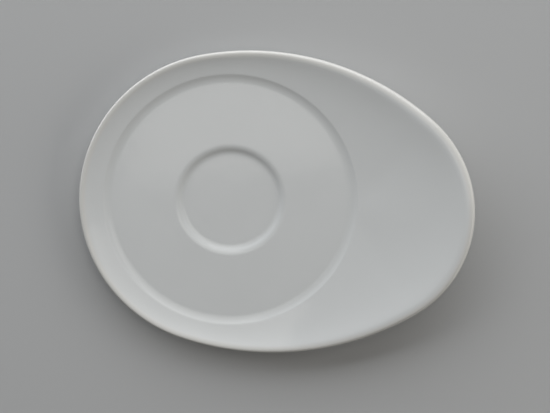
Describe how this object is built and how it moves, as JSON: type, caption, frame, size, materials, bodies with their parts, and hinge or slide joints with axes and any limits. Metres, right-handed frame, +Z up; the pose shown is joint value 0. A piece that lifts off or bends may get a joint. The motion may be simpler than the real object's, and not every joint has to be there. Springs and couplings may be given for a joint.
{
  "type": "espresso saucer",
  "caption": "Egg-shaped white porcelain espresso saucer with an off-centre round well, a shallow cup seat and a flange that sweeps up towards the narrow end.",
  "frame": {"origin": "on the table, under the middle of the saucer's overall length and width", "axes": "+X towards the narrow end, +Z up out of the face, the saucer is the same on both sides of the XZ plane"},
  "size_m": [0.16, 0.1242, 0.018],
  "materials": {
    "porcelain": "bare fired porcelain, matt, faintly warm",
    "glaze": "glossy white glaze with a faint waviness, slightly warm where it is thin at the lip"
  },
  "bodies": {
    "root": {"porcelain_body": "porcelain", "face_glaze": "glaze", "base_glaze": "glaze"}
  },
  "joints": []
}
